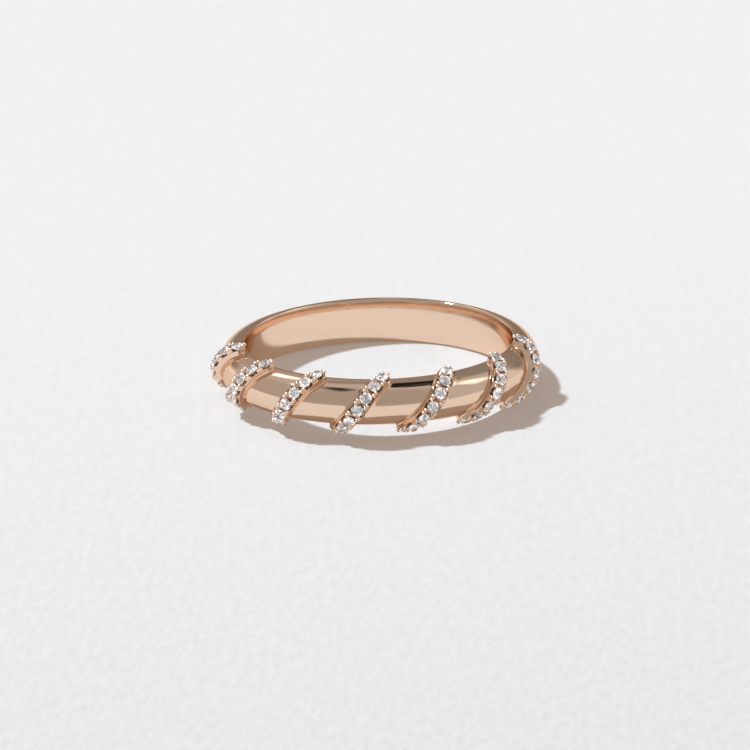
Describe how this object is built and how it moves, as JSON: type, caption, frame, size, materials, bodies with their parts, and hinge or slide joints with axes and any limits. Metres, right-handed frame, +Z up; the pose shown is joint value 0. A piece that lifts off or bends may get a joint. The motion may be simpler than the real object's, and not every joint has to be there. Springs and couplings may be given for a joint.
{
  "type": "finger ring",
  "caption": "Rose gold finger ring: a domed shank whose front is crossed by slanting raised ribs, each set with a row of small round brilliants between rails and prongs.",
  "frame": {"origin": "centre of the finger bore", "axes": "+Z up from the surface the ring lies on, +Y towards the plain back of the shank, +X to the right as seen from the set front; the bore leans about 3 degrees from +Z because the ring rests on its outer ribs and on the edge of its back"},
  "size_m": [0.0218, 0.0214, 0.0045],
  "materials": {
    "metal": "polished rose gold",
    "stone": "clear cut brilliant"
  },
  "bodies": {
    "root": {"shank": "metal", "stone_row_1": "stone", "stone_row_2": "stone", "stone_row_3": "stone", "stone_row_4": "stone", "stone_row_5": "stone", "stone_row_6": "stone", "stone_row_7": "stone"}
  },
  "joints": []
}
